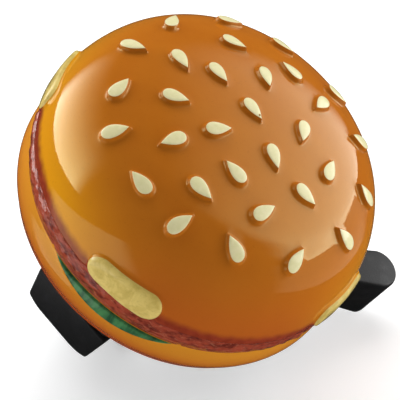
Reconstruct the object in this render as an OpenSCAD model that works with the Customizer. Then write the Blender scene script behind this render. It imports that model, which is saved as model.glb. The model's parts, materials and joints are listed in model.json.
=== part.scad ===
// Burger-shaped bicycle bell: a pressed and painted steel dome over a geared striker, worked by a
// thumb lever and carried on a two-part handlebar clamp. Millimetres. The origin is the centre of
// the handlebar bore, +X runs along the handlebar and +Z up the bell's axis.

/* [Dome] */
// Widest radius of the bun
dome_r = 30; // [29:0.5:33]
// Height of the rim above the handlebar's centre
rim_z = 16.4; // [16.4:0.1:18]
// Height from the rim to the crease under the bun
crease_h = 11.6; // [11:0.2:13]
// Height of the bun's rounded shoulder
shoulder_h = 11.6; // [10:0.2:13]
// Extra rise of the crown over the shoulder
crown_h = 6.9; // [5:0.1:8]
// Thickness of the pressed steel
shell_t = 0.9; // [0.7:0.1:1.1]

/* [Reliefs] */
// Length of a sesame seed
seed_l = 4.8; // [4:0.2:5.2]
// Width of a sesame seed
seed_w = 2.5; // [2:0.1:3]
// Height of a seed above the bun
seed_h = 0.9; // [0.5:0.1:1.2]
// Length of a cheese corner
cheese_l = 13.6; // [10:0.2:16]
// Height of a cheese corner
cheese_h = 6.2; // [5:0.2:7]
// Depth of a lettuce leaf
leaf_h = 1.8; // [1.4:0.1:3]
// How far cheese and lettuce stand out
relief_t = 0.5; // [0.3:0.1:0.7]

/* [Handlebar clamp] */
// Radius of the handlebar
bar_r = 11.1; // [11:0.05:11.2]
// Thickness of the rubber liner
liner_t = 1; // [0.8:0.1:1.1]
// Half of the clamp's width across the bar
clamp_y = 19.5; // [19:0.1:20]
// Half of the clamp's width along the bar
clamp_x = 8.6; // [8.2:0.1:9]
// Height of the joint between the saddle and the cap
split_z = 3; // [2:0.2:3.6]
// Distance of a clamp screw from the bar's centre
screw_y = 15.4; // [15.2:0.1:15.8]

/* [Mechanism] */
// Radius of the base plate
plate_r = 22.5; // [22.3:0.1:22.8]
// Thickness of the base plate
plate_t = 1.2; // [1:0.1:1.2]
// Module of the gears
gear_module = 0.9; // [0.88:0.01:0.9]
// Teeth on a full circle of the lever's sector
sector_teeth = 32; // [32:1:32]
// Teeth on each pinion
pinion_teeth = 9; // [9:1:9]
// Teeth on the idler's large wheel
wheel_teeth = 24; // [24:1:24]
// Distance of the lever's pivot from the bell's axis
pivot_r = 19; // [18.8:0.1:19.2]
// Bearing of the lever's pivot
pivot_az = 40; // [36:1:44]
// Distance of a striker's pin from the bell's axis
striker_r = 20.5; // [20:0.1:20.5]
// Outside radius of a striker washer
washer_r = 6.6; // [6:0.1:6.6]

/* [Thumb lever] */
// Bearing of the thumb pad from the pivot
pad_az = 47; // [44:1:50]
// Reach of the thumb pad from the pivot
pad_reach = 26.5; // [24:0.5:28]
// Height of the pad's pushing face
pad_h = 11.5; // [9:0.5:11.5]

/* [Hidden] */
$fn = 96;

// Clearances: a shaft in a running hole, and a face next to a moving face.
run_gap = 0.05;
face_gap = 0.3;

// Heights, from the base plate up.
plate_z = 13;
plate_top = plate_z + plate_t;
lever_z = plate_top + face_gap;
lever_t = 0.8;
pinion_t = 1.4;
wheel_z = lever_z + pinion_t;
wheel_t = 1;
rotor_z = 15.6;
rotor_pinion_t = 1.6;
bar_z = 18.6;
bar_t = 1.2;
striker_z = bar_z + bar_t + face_gap;
striker_t = 1.8;
clip_z = bar_z + bar_t + face_gap;
seat_z = 35.7;
boss_z = seat_z + face_gap;
post_top = 43;

// Outline of the dome: the superellipse crown down to the crease, then the patty and lower bun.
crease_z = rim_z + crease_h;
bun_power = 9;
shoulder_power = 0.766;
crown_lip = 0.6;
crown_flat = 3;
patty_h = 4;
crease_r = dome_r - 0.65;
function crown_z(r) = crease_z + crown_lip + crown_h * (1 - pow(r / dome_r, 2))
    + shoulder_h * pow(max(0, 1 - pow(r / dome_r, bun_power)), shoulder_power);
function crown_edge_r(h) = dome_r * pow(1 - pow((h - crown_lip) / (shoulder_h + 1),
    1 / shoulder_power), 1 / bun_power);
function shoulder_r(a) = dome_r * pow(cos(a), 2 / bun_power);
function patty_point(s) = [crease_r + 0.55 * sin(180 * s), crease_z + 0.2 - (patty_h + 0.2) * s];
function lower_point(s) = [crease_r - 0.75 * s + 1.05 * sin(180 * s),
    crease_z - patty_h - (crease_h - patty_h) * s];
outline = concat(
    [for (r = [0:3:18]) [r, crown_z(max(r, crown_flat))]],
    [for (a = [78:-6:0]) [shoulder_r(a), crown_z(shoulder_r(a))]],
    [for (i = [0:6]) patty_point(i / 6)],
    [for (i = [1:9]) lower_point(i / 9)]);
last = len(outline) - 1;
function along(i) = i < 2 ? [1, 0] : outline[min(i + 1, last)] - outline[i - 1];
function outward(i) = [-along(i)[1], along(i)[0]] / norm(along(i));
function moved_out(d) = [for (i = [0:last]) outline[i] + d * outward(i)];
function turned_round(points) = [for (i = [len(points) - 1:-1:0]) points[i]];

// Gears: involute teeth at a pressure angle of 25 degrees, thinned for backlash.
pressure = 25;
addendum = 0.8 * gear_module;
dedendum = 1.05 * gear_module;
thinning = 0.12;
flank_steps = 4;
function pitch_r(n) = n * gear_module / 2;
function tip_r(n) = pitch_r(n) + addendum;
function root_r(n) = pitch_r(n) - dedendum;
function base_r(n) = pitch_r(n) * cos(pressure);
function involute(a) = tan(a) * 180 / PI - a;
function half_tooth(n, r) = 90 / n - thinning / pitch_r(n) * 90 / PI + involute(pressure)
    - (r > base_r(n) ? involute(acos(base_r(n) / r)) : 0);
function flank_r(n, i) = max(base_r(n), root_r(n)) + (tip_r(n) - max(base_r(n), root_r(n)))
    * i / flank_steps;
function polar(r, a) = [r * cos(a), r * sin(a)];
function tooth(n, a) = concat(
    root_r(n) < base_r(n) ? [polar(root_r(n), a - half_tooth(n, base_r(n)))] : [],
    [for (i = [0:flank_steps]) polar(flank_r(n, i), a - half_tooth(n, flank_r(n, i)))],
    [for (i = [flank_steps:-1:0]) polar(flank_r(n, i), a + half_tooth(n, flank_r(n, i)))],
    root_r(n) < base_r(n) ? [polar(root_r(n), a + half_tooth(n, base_r(n)))] : []);
function joined(lists) = [for (list = lists) for (item = list) item];

// Where the gears' axes are: the idler meshes with the lever's sector and the rotor's pinion.
lever_centre = polar(pivot_r, pivot_az);
idler_r = pitch_r(wheel_teeth) + pitch_r(pinion_teeth);
reach = pitch_r(sector_teeth) + pitch_r(pinion_teeth);
idler_az = pivot_az
    + acos((pow(pivot_r, 2) + pow(idler_r, 2) - pow(reach, 2)) / (2 * pivot_r * idler_r));
idler_centre = polar(idler_r, idler_az);
to_idler = idler_centre - lever_centre;
mesh_az = atan2(to_idler[1], to_idler[0]);

// Shafts.
post_shaft_r = 2;
post_shoulder_r = 3.2;
idler_shaft_r = 1.5;
lever_shaft_r = 2;
lever_hub_r = 5.2;
peg_r = 1.2;
peg_reach = 7;
peg_az = 300;
peg_centre = lever_centre + polar(peg_reach, peg_az);
lug_r = 0.6;
lug_reach = 4.4;
lug_az = 100;
nib_az = 325;
pin_r = 1.2;
washer_hole_r = 2.9;

// Clamp.
bore_r = bar_r + liner_t;
split_half = 0.4;
liner_half = 6;
cap_depth = 7.3;
cap_narrowing = 1;
cap_bulge_r = 16;
cap_ring_r = 15.2;
saddle_low = split_z + split_half;
cap_top = split_z - split_half;
screw_r = 1.5;
screw_head_r = 2.75;
screw_head_h = 2.6;
screw_seat_z = -5;
nut_z = 6;
nut_h = 2.4;
nut_r = 3.175;
saddle_screw_r = 1.2;
saddle_screw_at = [5.6, 14];

// Thumb pad, in its own frame: x from the pivot outwards, y to the left, z up.
pad_top = 16;
pad_start = 8.5;
pad_right = -4.3;
pad_end_r = 3.85;
pad_wall = 1.6;
pad_tail = 16;
tail_half = 2;
tail_y = -1.2;

// The sesame seeds: distance from the axis, bearing, and the bearing of the pointed end.
seeds = [
    [1.5, 178, -8], [7, -26, -27], [8, 43, -56], [9, 122, -36], [9.5, 177, -11], [8, -105, 57],
    [11.5, -66, -178], [14, -10, 10], [14, 21, 113], [14.5, 75, -87], [14.5, 104, -173],
    [15.5, 145, 21], [15, -170, -19], [13.5, -138, 30], [15.5, -108, -109], [17, -78, 4],
    [16, -42, 82], [22.5, 2, -161], [22, 28, -165], [21, 55, -133], [21, 80, 22],
    [20.5, 114, 11], [22, 140, 45], [22, 169, 114], [22, -165, 15], [21.5, -140, 95],
    [22.5, -120, 61], [22.5, -97, 177], [22.5, -76, 84], [22, -53, 169], [22.5, -26, 112]];
seed_root = 0.5;
corner_bearings = [-158, -77, 4, 103];
leaf_bearings = [-77, 103];
cheese_z = crease_z + 2.6;
leaf_half = 12;
band_gap = 0.8;

module tube(outer, inner, height) {
    difference() {
        cylinder(r = outer, h = height);
        translate([0, 0, -1]) cylinder(r = inner, h = height + 2);
    }
}

module hexagon(across_corners_r, height) {
    cylinder(r = across_corners_r, h = height, $fn = 6);
}

module at_lever(z) {
    translate([lever_centre[0], lever_centre[1], z]) children();
}

// A flat round-ended bar from one point to another.
module round_bar(from, to, half) {
    run = to - from;
    translate(from) rotate(atan2(run[1], run[0])) union() {
        translate([0, -half]) square([norm(run), 2 * half]);
        circle(r = half);
        translate([norm(run), 0]) circle(r = half);
    }
}

module gear(n, first_az, height) {
    linear_extrude(height) polygon(joined([for (k = [0:n - 1]) tooth(n, first_az + k * 360 / n)]));
}

// One seed, its pointed end towards +X, its foot below the bun's skin.
module seed() {
    round_x = -seed_l / 2 + seed_w / 2;
    cheek = 0.45 * seed_w;
    translate([0, 0, -seed_root]) linear_extrude(seed_root + seed_h) union() {
        translate([round_x, 0]) circle(d = seed_w);
        polygon([[seed_l / 2, 0], [round_x, cheek], [round_x, -cheek]]);
    }
}

module placed_seed(s) {
    step = 0.1;
    tilt = atan((crown_z(s[0] - step) - crown_z(s[0] + step)) / (2 * step));
    rotate(s[1]) translate([s[0], 0, crown_z(s[0])]) rotate([0, tilt, 0]) rotate(s[2] - s[1]) seed();
}

// Bands that stand a little way out of the dome, behind the cheese and the lettuce.
module cheese_band() {
    low = cheese_z - cheese_h / 2 - band_gap;
    high = cheese_z + cheese_h / 2 + band_gap;
    edge_r = crown_edge_r(high - crease_z);
    rotate_extrude() polygon([[crease_r - 0.3, low], [dome_r + relief_t - 0.1, low],
        [dome_r + relief_t - 0.1, cheese_z], [edge_r + relief_t, high], [edge_r - 0.5, high]]);
}

module leaf_band() {
    top = crease_z - patty_h + 0.2;
    bottom = top - leaf_h - band_gap;
    rotate_extrude() polygon([[crease_r - 0.3, bottom], [dome_r + relief_t - 0.1, bottom],
        [crease_r + relief_t, top], [crease_r - 0.3, top]]);
}

// A corner of the cheese slice: a round-ended patch.
module cheese_patch() {
    half = cheese_h / 2;
    translate([20, 0, cheese_z]) rotate([90, 0, 90]) linear_extrude(15) union() {
        square([cheese_l - cheese_h, cheese_h], center = true);
        translate([cheese_l / 2 - half, 0]) circle(r = half);
        translate([half - cheese_l / 2, 0]) circle(r = half);
    }
}

// A leaf hangs from the patty's lower edge and is deepest at its middle.
module leaf_patch() {
    sag_r = (pow(leaf_half, 2) + pow(leaf_h, 2)) / (2 * leaf_h);
    top = crease_z - patty_h - 0.2;
    translate([20, 0, top]) rotate([90, 0, 90]) linear_extrude(15) intersection() {
        translate([0, sag_r - leaf_h]) circle(r = sag_r);
        translate([-leaf_half, -leaf_h]) square([2 * leaf_half, leaf_h]);
    }
}

module dome() {
    color("darkorange") union() {
        rotate_extrude() polygon(concat(outline, turned_round(moved_out(-shell_t))));
        for (s = seeds) placed_seed(s);
        intersection() {
            cheese_band();
            for (bearing = corner_bearings) rotate(bearing) cheese_patch();
        }
        intersection() {
            leaf_band();
            for (bearing = leaf_bearings) rotate(bearing) leaf_patch();
        }
    }
}

// The threaded boss is brazed under the crown and screws down onto the post.
module dome_boss() {
    color("silver") difference() {
        intersection() {
            translate([0, 0, boss_z]) cylinder(r = 5, h = 15);
            rotate_extrude() polygon(concat([[0, boss_z - 1]], moved_out(-shell_t),
                [[0, rim_z]]));
        }
        translate([0, 0, boss_z - 1]) cylinder(r = post_shaft_r + run_gap, h = post_top - boss_z + 1.6);
    }
}

module seat_nut() {
    height = 3;
    color("silver") translate([0, 0, seat_z - height]) difference() {
        hexagon(4.04, height);
        translate([0, 0, -1]) cylinder(r = post_shaft_r, h = height + 2);
    }
}

// The post is riveted into the plate and has a shoulder for the rotor to turn on.
module post() {
    color("silver") union() {
        translate([0, 0, plate_z]) cylinder(r1 = 3, r2 = post_shaft_r, h = 0.7);
        translate([0, 0, plate_z]) cylinder(r = post_shaft_r, h = post_top - plate_z);
        translate([0, 0, plate_top]) cylinder(r = post_shoulder_r, h = rotor_z - face_gap - plate_top);
    }
}

module rotor_clip() {
    color("dimgray") translate([0, 0, clip_z]) tube(3.6, post_shaft_r, 0.6);
}

module base_plate() {
    color("silver") difference() {
        translate([0, 0, plate_z]) cylinder(r = plate_r, h = plate_t);
        translate([0, 0, plate_z]) cylinder(r1 = 3, r2 = post_shaft_r, h = 0.7);
        translate([0, 0, plate_z - 1]) cylinder(r = post_shaft_r, h = plate_t + 2);
        translate([idler_centre[0], idler_centre[1], plate_z - 1])
            cylinder(r = idler_shaft_r, h = plate_t + 2);
        at_lever(plate_z - 1) cylinder(r = lever_shaft_r, h = plate_t + 2);
        translate([peg_centre[0], peg_centre[1], plate_z - 1]) cylinder(r = peg_r, h = plate_t + 2);
        for (side = [-1, 1]) translate(side * saddle_screw_at) {
            translate([0, 0, plate_z - 1]) cylinder(r = saddle_screw_r, h = plate_t + 2);
            translate([0, 0, plate_top - 1]) cylinder(r1 = saddle_screw_r, r2 = 2.3, h = 1);
        }
    }
}

module rotor_pinion() {
    color("goldenrod") difference() {
        union() {
            translate([0, 0, rotor_z]) gear(pinion_teeth, idler_az + 180 / pinion_teeth, rotor_pinion_t);
            translate([0, 0, rotor_z + rotor_pinion_t])
                cylinder(r = 3.6, h = bar_z - rotor_z - rotor_pinion_t);
            translate([0, 0, bar_z]) cylinder(r = 3, h = bar_t);
        }
        translate([0, 0, rotor_z - 1]) cylinder(r = post_shaft_r + run_gap, h = 8);
    }
}

module striker_bar() {
    color("silver") translate([0, 0, bar_z]) linear_extrude(bar_t) difference() {
        union() {
            round_bar([-striker_r, 0], [striker_r, 0], 3.5);
            circle(r = 6);
        }
        circle(r = 3);
        for (side = [-1, 1]) translate([side * striker_r, 0]) circle(r = pin_r);
    }
}

module striker_pins() {
    head_z = striker_z + striker_t + face_gap;
    color("silver") for (side = [-1, 1]) translate([side * striker_r, 0, bar_z]) union() {
        cylinder(r = pin_r, h = head_z - bar_z);
        translate([0, 0, head_z - bar_z]) cylinder(r = 3.6, h = 0.6);
    }
}

module striker(side) {
    color("lightgray") translate([side * striker_r, 0, striker_z])
        tube(washer_r, washer_hole_r, striker_t);
}

module striker_a() {
    striker(1);
}

module striker_b() {
    striker(-1);
}

// The idler: a pinion driven by the lever's sector and a large wheel that drives the rotor.
module idler_gear() {
    color("goldenrod") translate([idler_centre[0], idler_centre[1], 0]) difference() {
        union() {
            translate([0, 0, lever_z])
                gear(pinion_teeth, mesh_az + 180 + 180 / pinion_teeth, pinion_t);
            translate([0, 0, wheel_z]) gear(wheel_teeth, idler_az + 180, wheel_t);
        }
        translate([0, 0, lever_z - 1]) cylinder(r = idler_shaft_r + run_gap, h = 5);
    }
}

module idler_rivet() {
    head_z = wheel_z + wheel_t + face_gap;
    color("silver") translate([idler_centre[0], idler_centre[1], 0]) union() {
        translate([0, 0, plate_z]) cylinder(r = idler_shaft_r, h = head_z - plate_z);
        translate([0, 0, head_z]) cylinder(r = 2.6, h = 0.6);
    }
}

// Outline of the tail that is moulded into the thumb pad, in the pad's frame.
module tail_outline() {
    translate([0, tail_y - tail_half]) square([pad_tail, 2 * tail_half]);
}

module lever_plate() {
    first = mesh_az + 360 / sector_teeth;
    sector = joined([for (k = [5:-1:0]) tooth(sector_teeth, first - k * 360 / sector_teeth)]);
    color("silver") at_lever(lever_z) union() {
        difference() {
            linear_extrude(lever_t) union() {
                polygon(concat([[0, 0]], sector));
                circle(r = lever_hub_r);
                rotate(pad_az) tail_outline();
                rotate(nib_az) translate([0, -1.5]) square([8.5, 3]);
            }
            translate([0, 0, -1]) cylinder(r = lever_shaft_r + run_gap, h = lever_t + 2);
        }
        translate([lug_reach * cos(lug_az), lug_reach * sin(lug_az), 0])
            cylinder(r = lug_r, h = lever_t + 1.3);
    }
}

module lever_rivet() {
    head_z = 17.6;
    color("silver") at_lever(0) union() {
        translate([0, 0, plate_z]) cylinder(r = lever_shaft_r, h = head_z - plate_z);
        translate([0, 0, head_z]) cylinder(r = 3.2, h = 0.6);
    }
}

module spring_peg() {
    color("silver") translate([peg_centre[0], peg_centre[1], plate_z])
        cylinder(r = peg_r, h = 17.8 - plate_z);
}

// Outline of the thumb pad from above, drawn in by a wall's thickness for its hollow.
module pad_outline(inset) {
    end_x = pad_reach - pad_end_r;
    end_y = pad_right + pad_end_r;
    union() {
        polygon([[pad_start + inset, pad_right + inset], [end_x, pad_right + inset],
            [end_x, end_y + pad_end_r - inset], [pad_start + inset, 2 - inset]]);
        translate([end_x, end_y]) circle(r = pad_end_r - inset);
    }
}

// Outline of the pad from its side: the lower edge drops outwards to a rounded corner.
module pad_side() {
    corner = 2.4;
    low = pad_top - pad_h;
    rise = 3;
    union() {
        polygon([[pad_start, low + rise], [pad_reach - corner, low], [pad_reach - corner, pad_top],
            [pad_start, pad_top]]);
        translate([pad_reach - corner, low + corner]) circle(r = corner);
        translate([pad_reach - corner - 1, low + corner]) square([corner + 1, pad_h - corner]);
    }
}

module thumb_pad() {
    roof = 3;
    color("dimgray") at_lever(0) rotate(pad_az) difference() {
        intersection() {
            linear_extrude(pad_top) pad_outline(0);
            translate([0, 20, 0]) rotate([90, 0, 0]) linear_extrude(40) pad_side();
        }
        linear_extrude(pad_top - roof) pad_outline(pad_wall);
        translate([0, 0, lever_z]) linear_extrude(lever_t) tail_outline();
    }
}

// The return spring: coiled round the lever's rivet, one leg on the lug and one on the peg.
wire_r = 0.25;
coil_r = 2.7;
coil_low = 15.7;
coil_high = 17.25;
coil_turns = 2;
coil_steps = 20;
wire_sides = 8;
leg_low_az = lug_az + asin((lug_r + wire_r + 0.05) / lug_reach);
leg_high_az = peg_az - asin((peg_r + wire_r + 0.05) / peg_reach);
coil_turn = 360 * coil_turns + leg_high_az - leg_low_az;
coil_rings = floor(coil_turn / 360 * coil_steps);
function coil_point(i) = let(a = leg_low_az + coil_turn * i / coil_rings)
    [coil_r * cos(a), coil_r * sin(a), coil_low + (coil_high - coil_low) * i / coil_rings];
function leg_end(a, length, z) = [length * cos(a), length * sin(a), z];
spring_path = concat([leg_end(leg_low_az, 5.4, coil_low)], [for (i = [0:coil_rings]) coil_point(i)],
    [leg_end(leg_high_az, 8, coil_high)]);
function flat_normal(v) = [-v[1], v[0], 0] / norm([v[0], v[1]]);
function path_run(p, i) = p[min(i + 1, len(p) - 1)] - p[max(i - 1, 0)];
function wire_ring(p, i) = let(side = flat_normal(path_run(p, i)))
    [for (k = [0:wire_sides - 1]) p[i] + wire_r * (cos(k * 360 / wire_sides) * side
        + sin(k * 360 / wire_sides) * [0, 0, 1])];
function ring_faces(i, n) = joined([for (k = [0:n - 1]) let(a = i * n + k, b = i * n + (k + 1) % n)
    [[a, b, b + n], [a, b + n, a + n]]]);

module swept_wire(path, n) {
    count = len(path);
    polyhedron(joined([for (i = [0:count - 1]) wire_ring(path, i)]),
        concat([[for (k = [n - 1:-1:0]) k]], joined([for (i = [0:count - 2]) ring_faces(i, n)]),
            [[for (k = [0:n - 1]) (count - 1) * n + k]]));
}

module return_spring() {
    color("silver") at_lever(0) swept_wire(spring_path, wire_sides);
}

// Upper half of the clamp. The nuts drop into its pockets before the base plate closes them.
module saddle() {
    corner = 1.5;
    color("#262626") difference() {
        translate([0, 0, saddle_low]) linear_extrude(plate_z - saddle_low) union() {
            square([2 * clamp_x, 2 * (clamp_y - corner)], center = true);
            square([2 * (clamp_x - corner), 2 * clamp_y], center = true);
            for (x = [-1, 1], y = [-1, 1]) translate([x * (clamp_x - corner), y * (clamp_y - corner)])
                circle(r = corner);
        }
        rotate([0, 90, 0]) cylinder(r = bore_r, h = 40, center = true);
        for (side = [-1, 1]) {
            translate([0, side * screw_y, 0]) cylinder(r = screw_r + run_gap, h = plate_z);
            translate([0, side * screw_y, nut_z]) hexagon(nut_r, plate_z);
            translate([side * saddle_screw_at[0], side * saddle_screw_at[1], nut_z])
                cylinder(r = saddle_screw_r, h = plate_z);
        }
    }
}

module saddle_screws() {
    slot_w = 0.6;
    color("silver") for (side = [-1, 1]) translate(side * saddle_screw_at) difference() {
        union() {
            translate([0, 0, nut_z]) cylinder(r = saddle_screw_r, h = plate_top - nut_z);
            translate([0, 0, plate_top - 1]) cylinder(r1 = saddle_screw_r, r2 = 2.3, h = 1);
        }
        for (turn = [0, 90]) rotate(turn) translate([-1.3, -slot_w / 2, plate_top - 0.5])
            cube([2.6, slot_w, 1]);
    }
}

module clamp_nuts() {
    color("silver") for (side = [-1, 1]) translate([0, side * screw_y, nut_z]) difference() {
        hexagon(nut_r, nut_h);
        translate([0, 0, -1]) cylinder(r = screw_r + run_gap, h = nut_h + 2);
    }
}

// Outline of the cap's ears from beside the bar: they narrow downwards to rounded corners, and
// their lower edge bulges.
module ear_outline() {
    corner = 1.5;
    low_x = clamp_x - cap_narrowing;
    intersection() {
        union() {
            polygon([[-clamp_x, cap_top], [-low_x, corner - cap_depth], [low_x, corner - cap_depth],
                [clamp_x, cap_top]]);
            translate([corner - low_x, -cap_depth]) square([2 * (low_x - corner), cap_depth]);
            for (side = [-1, 1]) translate([side * (low_x - corner), corner - cap_depth])
                circle(r = corner);
        }
        translate([0, cap_bulge_r - cap_depth]) circle(r = cap_bulge_r);
    }
}

// Outline of the ears from along the bar.
module ear_side() {
    corner = 1.5;
    height = cap_depth + cap_top;
    union() {
        translate([-clamp_y, corner - cap_depth]) square([2 * clamp_y, height - corner]);
        translate([corner - clamp_y, -cap_depth]) square([2 * (clamp_y - corner), height]);
        for (side = [-1, 1]) translate([side * (clamp_y - corner), corner - cap_depth])
            circle(r = corner);
    }
}

module clamp_cap() {
    color("#262626") difference() {
        union() {
            intersection() {
                translate([0, 30, 0]) rotate([90, 0, 0]) linear_extrude(60) ear_outline();
                translate([-15, 0, 0]) rotate([90, 0, 90]) linear_extrude(30) ear_side();
            }
            intersection() {
                rotate([0, 90, 0]) cylinder(r = cap_ring_r, h = 13, center = true);
                translate([-20, -20, cap_top - 40]) cube([40, 40, 40]);
            }
        }
        rotate([0, 90, 0]) cylinder(r = bore_r, h = 40, center = true);
        for (side = [-1, 1]) translate([0, side * screw_y, 0]) {
            translate([0, 0, -20]) cylinder(r = screw_r + run_gap, h = 40);
            translate([0, 0, screw_seat_z - 20]) cylinder(r = 3.05, h = 20);
        }
    }
}

// A pan-headed screw with a cross recess, put in from below.
module clamp_screw(side) {
    head_top = screw_seat_z - run_gap;
    slot_w = 0.8;
    color("silver") translate([0, side * screw_y, 0]) difference() {
        union() {
            translate([0, 0, head_top - screw_head_h]) cylinder(r = screw_head_r, h = screw_head_h);
            translate([0, 0, head_top]) cylinder(r = screw_r, h = 10.5 - head_top);
        }
        for (turn = [0, 90]) rotate(turn)
            translate([-1.6, -slot_w / 2, head_top - screw_head_h - 1]) cube([3.2, slot_w, 2.4]);
    }
}

module clamp_screw_a() {
    clamp_screw(1);
}

module clamp_screw_b() {
    clamp_screw(-1);
}

module liner_part(low) {
    color("#1a1a1a") intersection() {
        rotate([0, 90, 0]) translate([0, 0, -liner_half]) tube(bore_r, bar_r, 2 * liner_half);
        translate([-20, -20, low]) cube([40, 40, 40]);
    }
}

module liner_upper() {
    liner_part(saddle_low);
}

module liner_lower() {
    liner_part(cap_top - 40);
}

dome();
dome_boss();
seat_nut();
post();
rotor_clip();
base_plate();
rotor_pinion();
striker_bar();
striker_pins();
striker_a();
striker_b();
idler_gear();
idler_rivet();
lever_plate();
thumb_pad();
lever_rivet();
return_spring();
spring_peg();
saddle();
saddle_screws();
clamp_nuts();
clamp_cap();
clamp_screw_a();
clamp_screw_b();
liner_upper();
liner_lower();
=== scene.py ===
"""Looks for the burger-shaped bicycle bell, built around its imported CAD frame.

Lengths in this script are millimetres until they are written to a mesh, which is in metres.
"""
import json
import math
import bpy
import bmesh
from mathutils import Matrix, Vector, noise
from mathutils.geometry import delaunay_2d_cdt


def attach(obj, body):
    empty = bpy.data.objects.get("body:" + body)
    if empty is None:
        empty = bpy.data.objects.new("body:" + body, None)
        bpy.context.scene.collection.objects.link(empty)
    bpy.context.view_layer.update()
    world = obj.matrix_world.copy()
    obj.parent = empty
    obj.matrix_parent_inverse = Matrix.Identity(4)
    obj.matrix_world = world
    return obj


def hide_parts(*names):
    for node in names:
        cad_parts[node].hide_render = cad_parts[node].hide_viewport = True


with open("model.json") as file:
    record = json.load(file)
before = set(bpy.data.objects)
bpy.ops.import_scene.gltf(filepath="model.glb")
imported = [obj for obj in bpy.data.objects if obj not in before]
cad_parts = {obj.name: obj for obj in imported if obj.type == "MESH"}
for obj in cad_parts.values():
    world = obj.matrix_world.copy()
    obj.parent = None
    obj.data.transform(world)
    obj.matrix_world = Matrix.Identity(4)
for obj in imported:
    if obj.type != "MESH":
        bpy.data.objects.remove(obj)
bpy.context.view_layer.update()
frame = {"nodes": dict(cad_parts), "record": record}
MM = 0.001
nodes_in_frame = frame["nodes"]


# Camera --------------------------------------------------------------------------------------

CAMERA_LENS = 113.2
CAMERA_PLACE = Vector((26.7, -137.4, 184.6))
CAMERA_TARGET = Vector((1.8, -1.9, 26.0))
CAMERA_UP = Vector((-0.741, 0.437, 0.510))


def add_camera():
    data = bpy.data.cameras.new("camera")
    data.lens = CAMERA_LENS
    data.sensor_width = 36
    data.clip_start = 0.01
    forward = (CAMERA_TARGET - CAMERA_PLACE).normalized()
    right = forward.cross(CAMERA_UP).normalized()
    turn = Matrix((right, right.cross(forward), -forward)).transposed().to_4x4()
    camera = bpy.data.objects.new("camera", data)
    camera.matrix_world = Matrix.Translation(CAMERA_PLACE * MM) @ turn
    bpy.context.collection.objects.link(camera)
    bpy.context.scene.camera = camera


add_camera()


# Materials: small helpers ----------------------------------------------------------------------

def fill(tree, socket, value):
    """Links another socket to this one, or gives this one a plain value."""
    if isinstance(value, bpy.types.NodeSocket):
        tree.links.new(value, socket)
    else:
        socket.default_value = value


def math_node(tree, operation, a, b=0.0):
    node = tree.nodes.new("ShaderNodeMath")
    node.operation = operation
    fill(tree, node.inputs[0], a)
    fill(tree, node.inputs[1], b)
    return node.outputs[0]


class Shader:
    """A material's node tree, with the few node patterns that the finishes share."""

    def __init__(self, name):
        self.material = bpy.data.materials.new(name)
        self.material.use_nodes = True
        self.tree = self.material.node_tree
        self.bsdf = self.tree.nodes["Principled BSDF"]
        self.place = self.new("ShaderNodeTexCoord").outputs["Object"]

    def new(self, kind, **settings):
        node = self.tree.nodes.new(kind)
        for key, value in settings.items():
            setattr(node, key, value)
        return node

    def link(self, source, target):
        self.tree.links.new(source, target)

    def set(self, **values):
        names = {"color": "Base Color", "metallic": "Metallic", "roughness": "Roughness",
                 "coat": "Coat Weight", "coat_roughness": "Coat Roughness", "coat_ior": "Coat IOR",
                 "coat_normal": "Coat Normal", "normal": "Normal", "anisotropic": "Anisotropic",
                 "ior": "IOR", "specular": "Specular IOR Level", "tint": "Specular Tint",
                 "emission": "Emission Color", "glow": "Emission Strength"}
        for key, value in values.items():
            fill(self.tree, self.bsdf.inputs[names[key]], value)

    def stretched(self, scale):
        mapping = self.new("ShaderNodeMapping")
        mapping.inputs["Scale"].default_value = scale
        self.link(self.place, mapping.inputs["Vector"])
        return mapping.outputs["Vector"]

    def noise(self, size, detail=3.0, roughness=0.5, vector=None, distortion=0.0):
        """Noise whose blobs are about `size` mm across."""
        node = self.new("ShaderNodeTexNoise")
        node.inputs["Scale"].default_value = 1 / (size * MM)
        node.inputs["Detail"].default_value = detail
        node.inputs["Roughness"].default_value = roughness
        node.inputs["Distortion"].default_value = distortion
        self.link(vector or self.place, node.inputs["Vector"])
        return node.outputs["Fac"]

    def cells(self, size, vector=None):
        node = self.new("ShaderNodeTexVoronoi")
        node.inputs["Scale"].default_value = 1 / (size * MM)
        self.link(vector or self.place, node.inputs["Vector"])
        return node.outputs["Distance"]

    def ranged(self, value, low, high, to_low=0.0, to_high=1.0):
        """A smooth step between two results as the value goes from `low` to `high`."""
        node = self.new("ShaderNodeMapRange", interpolation_type="SMOOTHSTEP")
        fill(self.tree, node.inputs["Value"], value)
        node.inputs["From Min"].default_value = low
        node.inputs["From Max"].default_value = high
        node.inputs["To Min"].default_value = to_low
        node.inputs["To Max"].default_value = to_high
        return node.outputs["Result"]

    def math(self, operation, a, b):
        return math_node(self.tree, operation, a, b)

    def mix(self, factor, a, b):
        node = self.new("ShaderNodeMix", data_type="RGBA")
        fill(self.tree, node.inputs[0], factor)
        fill(self.tree, node.inputs[6], a)
        fill(self.tree, node.inputs[7], b)
        return node.outputs[2]

    def axis(self, name):
        """One coordinate in metres from the handlebar's centre: "X", "Y" or "Z"."""
        parts = self.new("ShaderNodeSeparateXYZ")
        self.link(self.place, parts.inputs[0])
        return parts.outputs[name]

    def bump(self, value, depth, under=None):
        node = self.new("ShaderNodeBump")
        node.inputs["Strength"].default_value = 1.0
        node.inputs["Distance"].default_value = depth * MM
        self.link(value, node.inputs["Height"])
        if under is not None:
            self.link(under, node.inputs["Normal"])
        return node.outputs["Normal"]


def paint(red, green, blue):
    """A colour given as the usual 0-255 screen values."""
    def linear(value):
        value /= 255
        return value / 12.92 if value <= 0.04045 else ((value + 0.055) / 1.055) ** 2.4
    return (linear(red), linear(green), linear(blue), 1)


def orange_peel(shader):
    """The faint ripple of a sprayed surface."""
    return shader.bump(shader.noise(0.9, 2.0), 0.006)


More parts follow.
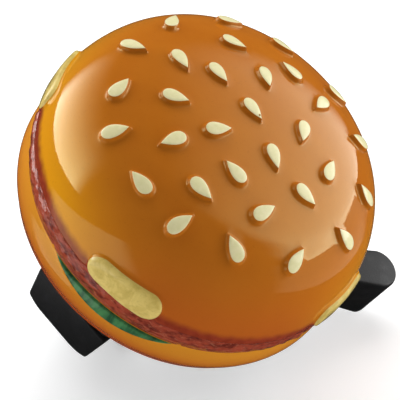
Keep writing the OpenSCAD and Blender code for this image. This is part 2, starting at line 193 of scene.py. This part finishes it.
def lacquered(shader, color, roughness=0.38, under=None):
    """Enamel under a clear coat; its surface is `under`, or else faint orange peel."""
    surface = under or orange_peel(shader)
    gloss = shader.ranged(shader.noise(0.16, 2.0), 0.2, 0.8, roughness - 0.06, roughness + 0.08)
    shader.set(color=color, roughness=gloss, specular=0.1, coat=1.0, coat_roughness=0.045,
               coat_ior=1.45, coat_normal=surface, normal=surface)
    return shader.material


# Materials: the dome's paints ------------------------------------------------------------------

PATTY_DARK = paint(108, 32, 18)
PATTY_RED = paint(172, 70, 44)
PATTY_PINK = paint(204, 124, 92)


def bun_enamel():
    """Baked brown on the crown, golden on the shoulder, patty paint sprayed over the lip.

    The shoulder is painted darker and redder at the front right, and the lower bun darker towards
    its rim; both are painted shade.
    """
    s = Shader("bun_enamel")
    height = s.axis("Z")
    blotch = s.noise(9.0, 4.0, 0.6)
    baked = s.mix(blotch, paint(186, 102, 24), paint(200, 118, 32))
    # Painted shade: the shoulder's paint turns darker and redder towards the front right, standing
    # in for the shade on that side.
    front_painted_shade = s.math("MULTIPLY", s.ranged(s.axis("Y"), -0.014, 0.010, 1.0, 0.0),
                         s.ranged(s.axis("X"), -0.012, 0.012))
    plain = s.mix(blotch, paint(234, 162, 26), paint(222, 146, 22))
    # The golden shoulder paint, with the painted shade of the front right mixed in.
    golden = s.mix(front_painted_shade, plain, paint(188, 96, 30))
    crown = s.mix(s.ranged(height, 0.030, 0.0435), golden, baked)
    # Painted shade: the lower bun's paint goes darker and redder towards the rim, standing in for
    # the shade under the bell.
    low = s.mix(s.ranged(height, 0.0165, 0.0245), paint(172, 72, 24), paint(224, 148, 44))
    color = s.mix(s.ranged(height, 0.025, 0.028), low, crown)
    ragged = s.math("SUBTRACT", height, s.math("MULTIPLY", s.noise(2.2, 3.0), 0.0012))
    spray = s.ranged(ragged, 0.0288, 0.0306, 1.0, 0.0)
    over = s.math("MULTIPLY", spray, s.ranged(height, 0.0265, 0.028))
    color = s.mix(over, color, s.mix(s.noise(1.6, 3.0), PATTY_DARK, PATTY_RED))
    speck = s.ranged(s.noise(0.35, 2.0), 0.62, 0.74, 0.0, 0.12)
    color = s.mix(speck, color, paint(120, 56, 16))
    s.set(color=color, roughness=s.ranged(s.noise(0.16, 2.0), 0.2, 0.8, 0.04, 0.06),
          normal=orange_peel(s), ior=1.62, tint=(0.95, 1.0, 0.5, 1))
    return s.material


def seed_enamel():
    s = Shader("seed_enamel")
    streak = s.noise(0.7, 3.0)
    color = s.mix(streak, paint(250, 240, 196), paint(228, 222, 158))
    return lacquered(s, color, roughness=0.45)


def cheese_enamel():
    s = Shader("cheese_enamel")
    patch = s.ranged(s.noise(2.6, 4.0, 0.6, distortion=0.6), 0.36, 0.66)
    color = s.mix(patch, paint(232, 206, 118), paint(208, 180, 92))
    fine = s.noise(0.5, 3.0)
    color = s.mix(s.ranged(fine, 0.5, 0.8, 0.0, 0.25), color, paint(160, 134, 62))
    dents = s.bump(s.noise(1.5, 3.0), 0.05)
    return lacquered(s, color, under=dents)


def patty_enamel():
    s = Shader("patty_enamel")
    streaks = s.stretched((0.55, 0.55, 1.3))
    lumps = s.noise(1.3, 4.0, 0.6, vector=streaks, distortion=0.4)
    color = s.mix(s.ranged(lumps, 0.32, 0.62), PATTY_DARK, PATTY_RED)
    crumbs = s.ranged(s.noise(0.6, 3.0, 0.65, vector=streaks), 0.52, 0.72, 0.0, 0.5)
    color = s.mix(crumbs, color, PATTY_PINK)
    rough = s.bump(s.noise(1.0, 3.0, 0.6), 0.09)
    return lacquered(s, color, under=rough)


def lettuce_enamel():
    s = Shader("lettuce_enamel")
    vein = s.noise(2.0, 4.0, 0.55, vector=s.stretched((1, 1, 0.35)), distortion=0.5)
    color = s.mix(s.ranged(vein, 0.34, 0.66), paint(34, 84, 52), paint(76, 140, 84))
    ripple = s.bump(s.noise(1.1, 2.0), 0.05)
    return lacquered(s, color, under=ripple)


def drawn_steel():
    """The bare inside of the dome, with the fine rings that drawing leaves."""
    s = Shader("drawn_steel")
    rings = s.noise(0.35, 3.0, vector=s.stretched((0.1, 0.1, 1.0)))
    stain = s.noise(6.0, 4.0, 0.6)
    color = s.mix(stain, paint(150, 150, 148), paint(186, 186, 182))
    s.set(color=color, metallic=1.0, roughness=s.ranged(stain, 0.3, 0.7, 0.34, 0.5),
          normal=s.bump(rings, 0.01))
    return s.material


# Materials: metals, plastic and rubber ------------------------------------------------------------

def metal(name, light, dark, shine, scratch_axis, depth=0.006):
    """Worn metal with fine scratches that run across `scratch_axis`."""
    s = Shader(name)
    scratch = s.noise(0.12, 3.0, vector=s.stretched(scratch_axis))
    cloud = s.noise(2.5, 4.0, 0.6)
    color = s.mix(s.ranged(cloud, 0.3, 0.7), light, dark)
    color = s.mix(s.ranged(scratch, 0.55, 0.8, 0.0, 0.35), color, dark)
    rough = s.math("ADD", s.ranged(cloud, 0.3, 0.7, shine, shine + 0.14),
                   s.ranged(scratch, 0.3, 0.8, 0.0, 0.08))
    s.set(color=color, metallic=1.0, roughness=rough, normal=s.bump(scratch, depth), anisotropic=0.3)
    return s.material


def black_plastic():
    """Moulded nylon: near black, with a fine leathery grain and faint rubbed patches; the grain's
    light flecks are partly painted glints.
    """
    s = Shader("black_plastic")
    grain = s.noise(0.22, 3.0, 0.6)
    pits = s.cells(0.34)
    rubbed = s.ranged(s.noise(5.0, 4.0, 0.6), 0.45, 0.75)
    color = s.mix(rubbed, paint(22, 22, 23), paint(30, 30, 31))
    # The grain's light flecks are partly real grain and partly painted glints of the light that
    # catches it.
    color = s.mix(s.ranged(grain, 0.55, 0.8, 0.0, 0.5), color, paint(66, 66, 66))
    fine = s.bump(grain, 0.02)
    s.set(color=color, roughness=s.ranged(rubbed, 0.0, 1.0, 0.5, 0.36), specular=0.5,
          normal=s.bump(pits, 0.012, under=fine))
    return s.material


def liner_rubber():
    s = Shader("liner_rubber")
    grain = s.noise(0.3, 4.0, 0.65)
    bloom = s.noise(3.0, 3.0)
    color = s.mix(s.ranged(bloom, 0.4, 0.75, 0.0, 0.6), paint(24, 24, 24), paint(46, 45, 43))
    s.set(color=color, roughness=s.ranged(grain, 0.3, 0.7, 0.7, 0.86), normal=s.bump(grain, 0.03))
    return s.material


ENAMELS = [bun_enamel(), seed_enamel(), cheese_enamel(), patty_enamel(), lettuce_enamel(),
           drawn_steel()]
BUN, SEED, CHEESE, PATTY, LETTUCE, INSIDE = range(len(ENAMELS))
STEEL = metal("brushed_steel", paint(205, 205, 203), paint(150, 150, 150), 0.24, (1, 1, 0.12))
ZINC = metal("zinc_plate", paint(206, 208, 210), paint(162, 166, 172), 0.3, (1, 0.1, 1))
TUMBLED = metal("tumbled_steel", paint(188, 188, 190), paint(132, 132, 136), 0.36, (1, 1, 1), 0.02)
DARK_STEEL = metal("spring_steel", paint(104, 102, 100), paint(62, 60, 58), 0.3, (1, 1, 0.3))
BRASS = metal("machined_brass", paint(224, 190, 112), paint(178, 138, 70), 0.24, (0.15, 1, 1))
PLASTIC = black_plastic()
RUBBER = liner_rubber()

SLOT_LOOKS = {"steel": STEEL, "zinc_plate": ZINC, "striker_steel": TUMBLED, "dark_steel": DARK_STEEL,
              "brass": BRASS, "black_plastic": PLASTIC, "liner_rubber": RUBBER,
              "bun_paint": ENAMELS[BUN]}


def dress_frame():
    """Every CAD node that stays in view gets the finish of its own material slot."""
    for part in frame["record"]["subparts"]:
        mesh = nodes_in_frame[part["node"]].data
        mesh.materials.clear()
        mesh.materials.append(SLOT_LOOKS[part["material_slot"]])


dress_frame()


# The dome: one pressed sheet --------------------------------------------------------------------

DOME_R = 30.0
RIM_Z = 16.4
CREASE_Z = 28.0
CREASE_R = 29.35
PATTY_H = 4.0
LOWER_H = CREASE_Z - PATTY_H - RIM_Z
SHEET = 0.9
AROUND = 360


def crown_z(r):
    square = 1 - (r / DOME_R) ** 2
    shoulder = max(0.0, 1 - (r / DOME_R) ** 9) ** 0.766
    return CREASE_Z + 0.6 + 6.9 * square + 11.6 * shoulder


def outer_profile():
    """Points (radius, height) of the plain dome from its top to the start of the rim's rounding."""
    line = [(r * 0.5, crown_z(r * 0.5)) for r in range(41)]
    for step in range(1, 64):
        r = DOME_R * math.cos(math.radians(74 - step * 74 / 64)) ** (2 / 9)
        if r > 20.2:
            line.append((r, crown_z(r)))
    line += [(29.97, 28.76), (29.88, 28.6), (29.7, 28.48), (29.5, 28.4), (29.36, 28.3)]
    for step in range(0, 14):
        s = step / 14
        line.append((CREASE_R + 0.55 * math.sin(math.pi * s) - 0.05 * (1 - s), CREASE_Z + 0.15
                     - (PATTY_H + 0.15) * s))
    for step in range(0, 20):
        s = step / 20
        line.append((CREASE_R - 0.75 * s + 1.05 * math.sin(math.pi * s),
                     CREASE_Z - PATTY_H - LOWER_H * s))
    return line


class Profile:
    """The plain outline, walked by its length from the top of the dome."""

    def __init__(self, points):
        self.points = points
        self.run = [0.0]
        for a, b in zip(points, points[1:]):
            self.run.append(self.run[-1] + math.dist(a, b))
        self.length = self.run[-1]

    def at(self, s):
        s = min(max(s, 0.0), self.length)
        low, high = 0, len(self.run) - 1
        while high - low > 1:
            middle = (low + high) // 2
            if self.run[middle] <= s:
                low = middle
            else:
                high = middle
        part = (s - self.run[low]) / (self.run[high] - self.run[low])
        a, b = self.points[low], self.points[high]
        return a[0] + (b[0] - a[0]) * part, a[1] + (b[1] - a[1]) * part

    def normal(self, s, reach=0.25):
        a, b = self.at(s - reach), self.at(s + reach)
        size = math.dist(a, b)
        return (a[1] - b[1]) / size, (b[0] - a[0]) / size

    def length_at_radius(self, r):
        return self.search(lambda point: point[0] < r)

    def length_at_height(self, z):
        return self.search(lambda point: point[1] > z)

    def search(self, before):
        """The length at which `before` stops being true."""
        low, high = 0.0, self.length
        for _ in range(30):
            middle = (low + high) / 2
            if before(self.at(middle)):
                low = middle
            else:
                high = middle
        return low


PROFILE = Profile(outer_profile())

# Sesame seeds: distance from the axis, bearing, and the bearing of the pointed end. These are
# the CAD's rows.
SEEDS = [
    (1.5, 178, -8), (7, -26, -27), (8, 43, -56), (9, 122, -36), (9.5, 177, -11), (8, -105, 57),
    (11.5, -66, -178), (14, -10, 10), (14, 21, 113), (14.5, 75, -87), (14.5, 104, -173),
    (15.5, 145, 21), (15, -170, -19), (13.5, -138, 30), (15.5, -108, -109), (17, -78, 4),
    (16, -42, 82), (22.5, 2, -161), (22, 28, -165), (21, 55, -133), (21, 80, 22),
    (20.5, 114, 11), (22, 140, 45), (22, 169, 114), (22, -165, 15), (21.5, -140, 95),
    (22.5, -120, 61), (22.5, -97, 177), (22.5, -76, 84), (22, -53, 169), (22.5, -26, 112)]
SEED_HALF_L = 2.45
SEED_HALF_W = 1.3
# Rings of a seed from its foot to its middle: growth of the outline, extra offset, height.
SEED_RINGS = [(1.0, 0.42, 0.0), (1.0, 0.2, 0.04), (1.0, 0.05, 0.16), (0.96, 0.0, 0.42),
              (0.9, 0.0, 0.7), (0.84, 0.0, 0.82), (0.74, 0.0, 0.88), (0.5, 0.0, 0.92),
              (0.22, 0.0, 0.94)]
SEED_POINTS = 30


def seed_outline(turn):
    """A teardrop with its point towards +x; `turn` goes from 0 to 2 pi."""
    half = math.sin(turn / 2)
    return (SEED_HALF_L * math.cos(turn), SEED_HALF_W / 0.77 * math.sin(turn) * abs(half))


class Seed:
    outer = 0.75

    def __init__(self, radius, bearing, tip):
        self.radius = radius
        self.bearing = math.radians(bearing)
        self.tip = math.radians(tip - bearing)
        self.tilt = math.cos(math.atan((crown_z(radius - 0.1) - crown_z(radius + 0.1)) / 0.2))

    def to_flat(self, u, v):
        """From the seed's own plane to plan coordinates."""
        a = (u * math.cos(self.tip) - v * math.sin(self.tip)) * self.tilt + self.radius
        b = u * math.sin(self.tip) + v * math.cos(self.tip)
        cos, sin = math.cos(self.bearing), math.sin(self.bearing)
        return a * cos - b * sin, a * sin + b * cos

    def near(self, x, y):
        """True if a plan point lies on the seed or its fillet."""
        cos, sin = math.cos(self.bearing), math.sin(self.bearing)
        a = (x * cos + y * sin - self.radius) / self.tilt
        b = y * cos - x * sin
        if a * a + b * b > 12:
            return False
        u = a * math.cos(self.tip) + b * math.sin(self.tip)
        v = b * math.cos(self.tip) - a * math.sin(self.tip)
        width = SEED_HALF_W + self.outer
        length = SEED_HALF_L + self.outer
        return (u / length) ** 2 + (v / width) ** 2 < 1


class Sheet:
    """Collects the points of the dome's outer face in a flat map, then lifts them into shape.

    In the map a point's distance from the middle is its length along the profile and its
    direction is its bearing.
    """

    def __init__(self):
        self.flat = []
        self.edges = []
        self.shape = []

    def add(self, s, bearing, kind=None, value=0.0):
        self.flat.append(Vector((s * math.cos(bearing), s * math.sin(bearing))))
        self.shape.append((kind, value))
        return len(self.flat) - 1

    def close(self, ring):
        self.edges += [(ring[i], ring[(i + 1) % len(ring)]) for i in range(len(ring))]


def add_seed(sheet, seed):
    turns = [2 * math.pi * (i + 0.5) / SEED_POINTS for i in range(SEED_POINTS)]
    for growth, offset, height in SEED_RINGS:
        ring = []
        for turn in turns:
            u, v = seed_outline(turn)
            before, after = seed_outline(turn - 0.02), seed_outline(turn + 0.02)
            run = Vector((after[0] - before[0], after[1] - before[1])).normalized()
            x, y = seed.to_flat(u * growth + run.y * offset, v * growth - run.x * offset)
            s = PROFILE.length_at_radius(math.hypot(x, y))
            ring.append(sheet.add(s, math.atan2(y, x), "seed", height))
        sheet.close(ring)
    x, y = seed.to_flat(0, 0)
    sheet.add(PROFILE.length_at_radius(math.hypot(x, y)), math.atan2(y, x), "seed", 0.94)


CORNER_BEARINGS = (-158, -77, 4, 103)
LEAF_BEARINGS = (-77, 103)
CHEESE_L = 13.6
CHEESE_H = 5.3
CHEESE_Z = CREASE_Z + 2.6
CHEESE_TAPER = 0.25
CHEESE_POINTS = 64
# The cheese's face stands upright at this radius, then leans back over this much height.
CHEESE_FACE_R = 30.42
CHEESE_LEAN = 3.4
# Rings of a cheese corner: distance outside its outline, and how far the sheet is raised.
CHEESE_RINGS = [(0.45, 0.0), (0.2, 0.08), (0.0, 0.35), (-0.18, 0.78), (-0.4, 0.96), (-0.8, 1.0),
                (-1.5, 0.97), (-2.3, 0.93)]
LEAF_HALF = 12.0
LEAF_H = 1.8
LEAF_TOP = CREASE_Z - PATTY_H - 0.15
LEAF_RINGS = [(1.05, 0.0), (1.0, 0.2), (0.93, 0.7), (0.84, 0.96), (0.65, 1.0), (0.35, 0.95)]


# The patty's lumps lie between these heights, with a fine groove near the top.
LUMPS_LOW = 23.9
LUMPS_HIGH = 28.25
LUMP_DEPTH = 0.42
GROOVE_Z = 27.1
GROOVE_HALF = 0.16
GROOVE_DEPTH = 0.14
# The seeds lie inside this radius and above this height.
SEEDED_R = 26.5
SEEDED_Z = 36.0
# The lip above the patty and the band below it need closer rings than the rest.
LIP_LOW = 28.1
LIP_HIGH = 29.2
BAND_LOW = 23.7


def cheese_outline(part, offset):
    """An oval that narrows to one end: arc length along the dome and height from its middle."""
    arc, z = round_ended(part, offset)
    return arc, z * (1 + CHEESE_TAPER * arc / CHEESE_L)


def round_ended(part, offset):
    """A point of a round-ended bar's outline; `part` goes from 0 to 1 around it."""
    half = CHEESE_H / 2 + offset
    straight = CHEESE_L - CHEESE_H
    total = 2 * straight + 2 * math.pi * half
    way = part * total
    if way < straight:
        return way - straight / 2, -half
    way -= straight
    if way < math.pi * half:
        angle = way / half - math.pi / 2
        return straight / 2 + half * math.cos(angle), half * math.sin(angle)
    way -= math.pi * half
    if way < straight:
        return straight / 2 - way, half
    angle = (way - straight) / half + math.pi / 2
    return -straight / 2 + half * math.cos(angle), half * math.sin(angle)


def near_cheese(arc, z):
    straight = (CHEESE_L - CHEESE_H) / 2
    wide = (z - CHEESE_Z) / (1 + CHEESE_TAPER * arc / CHEESE_L)
    return math.hypot(max(abs(arc) - straight, 0), wide) < CHEESE_H / 2 + 0.7


def leaf_bottom(arc):
    return LEAF_TOP - LEAF_H * (1 - (arc / LEAF_HALF) ** 2)


def near_leaf(arc, z):
    if abs(arc) > LEAF_HALF + 1.4:
        return False
    return leaf_bottom(min(abs(arc), LEAF_HALF)) - 0.4 < z < LEAF_TOP + 0.35


def leaf_outline(count):
    """Crescent outline, anticlockwise: the sagging lower edge, then the straight upper edge."""
    low = [(-LEAF_HALF + 2 * LEAF_HALF * i / count) for i in range(count)]
    line = [(arc, leaf_bottom(arc)) for arc in low]
    line += [(-arc, LEAF_TOP) for arc in low]
    return line


def add_cheese(sheet, degrees):
    bearing = math.radians(degrees)
    for offset, raised in CHEESE_RINGS:
        ring = []
        for i in range(CHEESE_POINTS):
            arc, z = cheese_outline((i + 0.5) / CHEESE_POINTS, offset)
            s = PROFILE.length_at_height(CHEESE_Z + z)
            ring.append(sheet.add(s, bearing + arc / DOME_R, "cheese", raised))
        sheet.close(ring)


def add_leaf(sheet, degrees):
    bearing = math.radians(degrees)
    middle = (0.0, LEAF_TOP - LEAF_H * 0.42)
    for growth, raised in LEAF_RINGS:
        ring = []
        for arc, z in leaf_outline(36):
            s = PROFILE.length_at_height(middle[1] + (z - middle[1]) * growth)
            ring.append(sheet.add(s, bearing + arc * growth / DOME_R, "leaf", raised))
        sheet.close(ring)


def arc_from(bearing, degrees):
    """Arc length along the dome from a feature's middle."""
    return ((bearing - math.radians(degrees) + math.pi) % (2 * math.pi) - math.pi) * DOME_R


def taken(s, bearing, seeds):
    """True if a plain point would lie on a seed, a cheese corner or a leaf."""
    r, z = PROFILE.at(s)
    if r < SEEDED_R and z > SEEDED_Z:
        x, y = r * math.cos(bearing), r * math.sin(bearing)
        return any(seed.near(x, y) for seed in seeds)
    return (any(near_cheese(arc_from(bearing, middle), z) for middle in CORNER_BEARINGS)
            or any(near_leaf(arc_from(bearing, middle), z) for middle in LEAF_BEARINGS))


def points_around(r, z):
    """How many points a plain ring has: fewer towards the top of the crown."""
    if z <= SEEDED_Z:
        return AROUND
    return max(12, min(AROUND, int(2 * math.pi * r / 0.75) // 6 * 6))


def ring_gap(z):
    """The length along the profile from one plain ring to the next."""
    if LIP_LOW < z < LIP_HIGH:
        return 0.16
    if BAND_LOW < z <= LIP_LOW:
        return 0.28
    return 0.8 if z > 40 else 0.5


def add_ground(sheet, seeds):
    """The plain rings of points between the reliefs; returns the last ring, at the rim."""
    sheet.add(0.0, 0.0)
    rows = []
    s = 0.8
    while s < PROFILE.length - 0.2:
        r, z = PROFILE.at(s)
        rows.append((s, points_around(r, z)))
        s += ring_gap(z)
    rows.append((PROFILE.length, AROUND))
    for row, (s, count) in enumerate(rows):
        ring = []
        for i in range(count):
            bearing = 2 * math.pi * (i + 0.5 * (row % 2)) / count
            ring.append(None if taken(s, bearing, seeds) else sheet.add(s, bearing))
        for i in range(count):
            a, b = ring[i], ring[(i + 1) % count]
            if a is not None and b is not None:
                sheet.edges.append((a, b))
    return ring


def bumpy(point, size, seed):
    return noise.noise(Vector(point) / size + Vector((seed, seed, seed)))


def cheese_face(r, z):
    """How far from the axis the cheese's face is where the plain dome has radius `r`."""
    if z < CHEESE_Z:
        return CHEESE_FACE_R
    top = min((z - CHEESE_Z) / CHEESE_LEAN, 1.0)
    return max((r + 0.5) * top + CHEESE_FACE_R * (1 - top), r + 0.42)


def patty_push(point):
    """How far the lumps and the groove move a point of the patty outwards."""
    z = point[2]
    depth = math.sin(math.pi * (z - LUMPS_LOW) / (LUMPS_HIGH - LUMPS_LOW)) ** 0.6
    lump = bumpy(point, 1.5, 3.0) * 0.6 + bumpy(point, 0.7, 9.0) * 0.4
    groove = math.exp(-((z - GROOVE_Z) / GROOVE_HALF) ** 2) * GROOVE_DEPTH
    return (LUMP_DEPTH * lump - groove) * depth


def lifted(flat, kind, value):
    """The place in space of a point of the map, with its relief and the patty's lumps."""
    s = flat.length
    bearing = math.atan2(flat.y, flat.x)
    r, z = PROFILE.at(s)
    if kind == "seed":
        nr, nz = PROFILE.normal(s, 1.2)
        r += nr * value
        z += nz * value
    elif kind == "cheese":
        r += (cheese_face(r, z) - r) * value
    elif kind == "leaf":
        r += 0.45 * value
    x, y = r * math.cos(bearing), r * math.sin(bearing)
    push = 0.0
    if kind is None and LUMPS_LOW < z < LUMPS_HIGH:
        push = patty_push((x, y, z))
    elif kind == "cheese":
        push = bumpy((x, y, z), 3.0, 5.0) * 0.1 * value
    return Vector((x + math.cos(bearing) * push, y + math.sin(bearing) * push, z))


def skin_of(kinds, values, height):
    """Which paint a face of the outer sheet wears."""
    if all(kind == "seed" for kind in kinds) and min(values) > 0.75:
        return SEED
    if all(kind == "cheese" for kind in kinds) and min(values) > 0.2:
        return CHEESE
    if all(kind == "leaf" for kind in kinds) and min(values) > 0.1:
        return LETTUCE
    if CREASE_Z - PATTY_H < height < CREASE_Z + 0.35:
        return PATTY
    return BUN


def make_dome():
    seeds = [Seed(*row) for row in SEEDS]
    sheet = Sheet()
    for seed in seeds:
        add_seed(sheet, seed)
    for degrees in CORNER_BEARINGS:
        add_cheese(sheet, degrees)
    for degrees in LEAF_BEARINGS:
        add_leaf(sheet, degrees)
    rim = add_ground(sheet, seeds)
    made = delaunay_2d_cdt(sheet.flat, sheet.edges, [], 0, 1e-7, True)
    flats, faces, origins = made[0], made[2], made[3]
    shapes = [sheet.shape[origin[0]] if origin else (None, 0.0) for origin in origins]
    where = {origin[0]: index for index, origin in enumerate(origins) if origin}
    mesh = bmesh.new()
    points = [mesh.verts.new(lifted(flat, *shape) * MM) for flat, shape in zip(flats, shapes)]
    for corners in faces:
        face = mesh.faces.new([points[i] for i in corners])
        height = sum(points[i].co.z for i in corners) / 3 / MM
        face.material_index = skin_of([shapes[i][0] for i in corners],
                                      [shapes[i][1] for i in corners], height)
        face.smooth = True
    add_inside(mesh, [points[where[i]] for i in rim])
    return finish_mesh(mesh, "dome_pressing", ENAMELS)


def add_inside(mesh, rim):
    """The rounded rim and the bare inner face of the sheet."""
    start = [math.atan2(v.co.y, v.co.x) for v in rim]
    rim_r, rim_z = PROFILE.at(PROFILE.length)
    rows = [(rim_r - 0.06, RIM_Z - 0.02, BUN), (rim_r - 0.25, RIM_Z, BUN),
            (rim_r - 0.62, RIM_Z, BUN), (rim_r - 0.84, RIM_Z + 0.14, INSIDE)]
    s = PROFILE.length - 0.8
    while s > 1.5:
        r, z = PROFILE.at(s)
        nr, nz = PROFILE.normal(s, 1.0)
        rows.append((r - nr * SHEET, z - nz * SHEET, INSIDE))
        s -= 1.2 if r > 26 else 2.4
    last = rim
    for r, z, skin in rows:
        ring = [mesh.verts.new(Vector((r * math.cos(a), r * math.sin(a), z)) * MM) for a in start]
        for i in range(len(ring)):
            j = (i + 1) % len(ring)
            face = mesh.faces.new([last[i], ring[i], ring[j], last[j]])
            face.material_index = skin
            face.smooth = True
        last = ring
    top = mesh.verts.new(Vector((0, 0, crown_z(0) - SHEET)) * MM)
    for i in range(len(last)):
        face = mesh.faces.new([last[i], top, last[(i + 1) % len(last)]])
        face.material_index = INSIDE
        face.smooth = True


def finish_mesh(mesh, name, materials):
    """Turns a bmesh into an object in the scene with these materials."""
    data = bpy.data.meshes.new(name)
    mesh.to_mesh(data)
    mesh.free()
    for material in materials:
        data.materials.append(material)
    made = bpy.data.objects.new(name, data)
    bpy.context.collection.objects.link(made)
    return made


dome = make_dome()
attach(dome, "dome")
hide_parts("dome")


# Clamp and thumb pad: the CAD's shapes with moulded edges -----------------------------------------

FLAT_ANGLE = math.radians(2)
SHARP_ANGLE = math.radians(35)


def moulded(node, body, width):
    """A copy of a CAD node with every sharp edge rounded; it takes the node's place."""
    mesh = bmesh.new()
    source = nodes_in_frame[node]
    mesh.from_mesh(source.data)
    mesh.transform(source.matrix_world)
    bmesh.ops.remove_doubles(mesh, verts=mesh.verts, dist=0.002 * MM)
    bmesh.ops.dissolve_limit(mesh, angle_limit=FLAT_ANGLE, verts=mesh.verts, edges=mesh.edges)
    sharp = [edge for edge in mesh.edges if len(edge.link_faces) == 2
             and edge.calc_face_angle() > SHARP_ANGLE]
    bmesh.ops.bevel(mesh, geom=sharp, offset=width * MM, offset_type="OFFSET", segments=3,
                    profile=0.5, affect="EDGES", clamp_overlap=False)
    bmesh.ops.remove_doubles(mesh, verts=mesh.verts, dist=0.001 * MM)
    bmesh.ops.dissolve_degenerate(mesh, dist=0.0005 * MM, edges=mesh.edges)
    bmesh.ops.triangulate(mesh, faces=[face for face in mesh.faces if len(face.verts) > 4],
                          ngon_method="EAR_CLIP")
    for face in mesh.faces:
        face.smooth = True
    made = finish_mesh(mesh, node + "_moulded", [PLASTIC])
    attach(made, body)
    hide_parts(node)


moulded("thumb_pad", "lever", 0.6)
moulded("clamp_cap", "cap", 0.4)
moulded("saddle", "base", 0.5)


# Stage: floor, world and lights -------------------------------------------------------------------

# The bell lies on its clamp and lever, so the floor leans against the bell's own axes.
DOWN = Vector((0.578, -0.051, -0.814)).normalized()
RIGHT = Vector((0.659, 0.617, 0.429))
RIGHT = (RIGHT - DOWN * RIGHT.dot(DOWN)).normalized()
AWAY = RIGHT.cross(DOWN).normalized()
FLOOR_DEPTH = 15.6
FLOOR_GLOW = 0.3
# Strengths of the surroundings: behind the bell, as light on it, and mirrored in its lacquer.
WORLD_SEEN = 1.0
WORLD_LIGHT = 0.24
WORLD_MIRRORED = 0.03


def stage_point(right, up, away):
    """A point in millimetres given by directions on the stage, from the bell's middle."""
    return (Vector((0, 0, 28)) + RIGHT * right - DOWN * up + AWAY * away) * MM


def add_floor():
    """A pale disc that shows only its upper side, so that no view has the bell behind it.

    It glows faintly and has no mirror image.
    """
    middle = DOWN * FLOOR_DEPTH * MM
    bpy.ops.mesh.primitive_circle_add(vertices=128, radius=0.42, fill_type="NGON")
    floor = bpy.context.object
    floor.name = "floor"
    tilt = (-DOWN).to_track_quat("Z", "Y").to_matrix().to_4x4()
    floor.matrix_world = Matrix.Translation(middle) @ tilt
    s = Shader("floor_paper")
    paper = s.mix(s.noise(0.5, 3.0), (0.88, 0.88, 0.88, 1), (0.92, 0.92, 0.92, 1))
    s.set(color=paper, roughness=0.9, specular=0.1, emission=(1, 1, 1, 1), glow=FLOOR_GLOW)
    side = s.new("ShaderNodeNewGeometry").outputs["Backfacing"]
    blend = s.new("ShaderNodeMixShader")
    clear = s.new("ShaderNodeBsdfTransparent")
    s.link(side, blend.inputs[0])
    s.link(s.bsdf.outputs[0], blend.inputs[1])
    s.link(clear.outputs[0], blend.inputs[2])
    s.link(blend.outputs[0], s.tree.nodes["Material Output"].inputs["Surface"])
    floor.data.materials.append(s.material)
    floor.visible_glossy = False


def add_world():
    """White behind the bell, even light on it, and dim surroundings in its lacquer."""
    world = bpy.data.worlds.new("studio")
    bpy.context.scene.world = world
    world.use_nodes = True
    tree = world.node_tree
    tree.nodes.clear()
    path = tree.nodes.new("ShaderNodeLightPath")
    out = tree.nodes.new("ShaderNodeOutputWorld")

    def background(strength):
        node = tree.nodes.new("ShaderNodeBackground")
        node.inputs["Color"].default_value = (0.98, 0.99, 1.0, 1)
        node.inputs["Strength"].default_value = strength
        return node.outputs[0]

    def blended(which, low, high):
        node = tree.nodes.new("ShaderNodeMixShader")
        tree.links.new(path.outputs[which], node.inputs[0])
        tree.links.new(low, node.inputs[1])
        tree.links.new(high, node.inputs[2])
        return node.outputs[0]

    light = blended("Is Glossy Ray", background(WORLD_LIGHT), background(WORLD_MIRRORED))
    tree.links.new(blended("Is Camera Ray", light, background(WORLD_SEEN)), out.inputs[0])


def panel_brightness(tree, fade):
    """Soft ends, times a brightness that falls from the lower edge with a power of `fade`."""
    spot = tree.nodes.new("ShaderNodeNewGeometry")
    parts = tree.nodes.new("ShaderNodeSeparateXYZ")
    tree.links.new(spot.outputs["Parametric"], parts.inputs[0])
    from_middle = math_node(tree, "SUBTRACT", parts.outputs["X"], 0.5)
    ends = tree.nodes.new("ShaderNodeMapRange")
    ends.interpolation_type = "SMOOTHSTEP"
    ends.inputs["From Min"].default_value = 0.5
    ends.inputs["From Max"].default_value = 0.3
    tree.links.new(math_node(tree, "ABSOLUTE", from_middle), ends.inputs["Value"])
    falloff = math_node(tree, "POWER", math_node(tree, "SUBTRACT", 1.0, parts.outputs["Y"]), fade)
    return math_node(tree, "MULTIPLY", falloff, ends.outputs["Result"])


def add_softbox(name, middle, width, height, radiance, fade=2.0, mirrored=True):
    """A soft panel that faces the bell. `middle` is in stage directions, sizes are millimetres.

    A mirrored panel shows in the lacquer and has soft ends. With a fade it is brightest at its
    lower edge.
    """
    data = bpy.data.lights.new(name, "AREA")
    data.shape = "RECTANGLE"
    data.size = width * MM
    data.size_y = height * MM
    data.energy = radiance * math.pi * data.size * data.size_y
    if mirrored:
        data.use_nodes = True
        strength = data.node_tree.nodes["Emission"].inputs["Strength"]
        data.node_tree.links.new(panel_brightness(data.node_tree, fade), strength)
    light = bpy.data.objects.new(name, data)
    place = stage_point(*middle)
    aim = (stage_point(0, 0, 0) - place).normalized()
    side = aim.cross(-DOWN).normalized()
    turn = Matrix((side, side.cross(aim), -aim)).transposed().to_4x4()
    light.matrix_world = Matrix.Translation(place) @ turn
    light.visible_camera = False
    light.visible_glossy = mirrored
    bpy.context.collection.objects.link(light)


def add_lights():
    """Three panels above, and two cards that lie mostly below the floor and show in the lacquer."""
    add_softbox("softbox_left", (-300, 260, 90), 640, 460, 5.4)
    add_softbox("softbox_right", (330, 270, 60), 760, 640, 4.0, fade=1.6)
    add_softbox("overhead", (-60, 420, 260), 520, 520, 2.1, mirrored=False)
    add_softbox("card_left", (-330, -95, -150), 500, 180, 0.9, fade=0.0)
    add_softbox("card_right", (330, -80, -20), 520, 240, 0.5, fade=0.0)


add_floor()
add_world()
add_lights()
bpy.context.scene.view_settings.view_transform = "Standard"
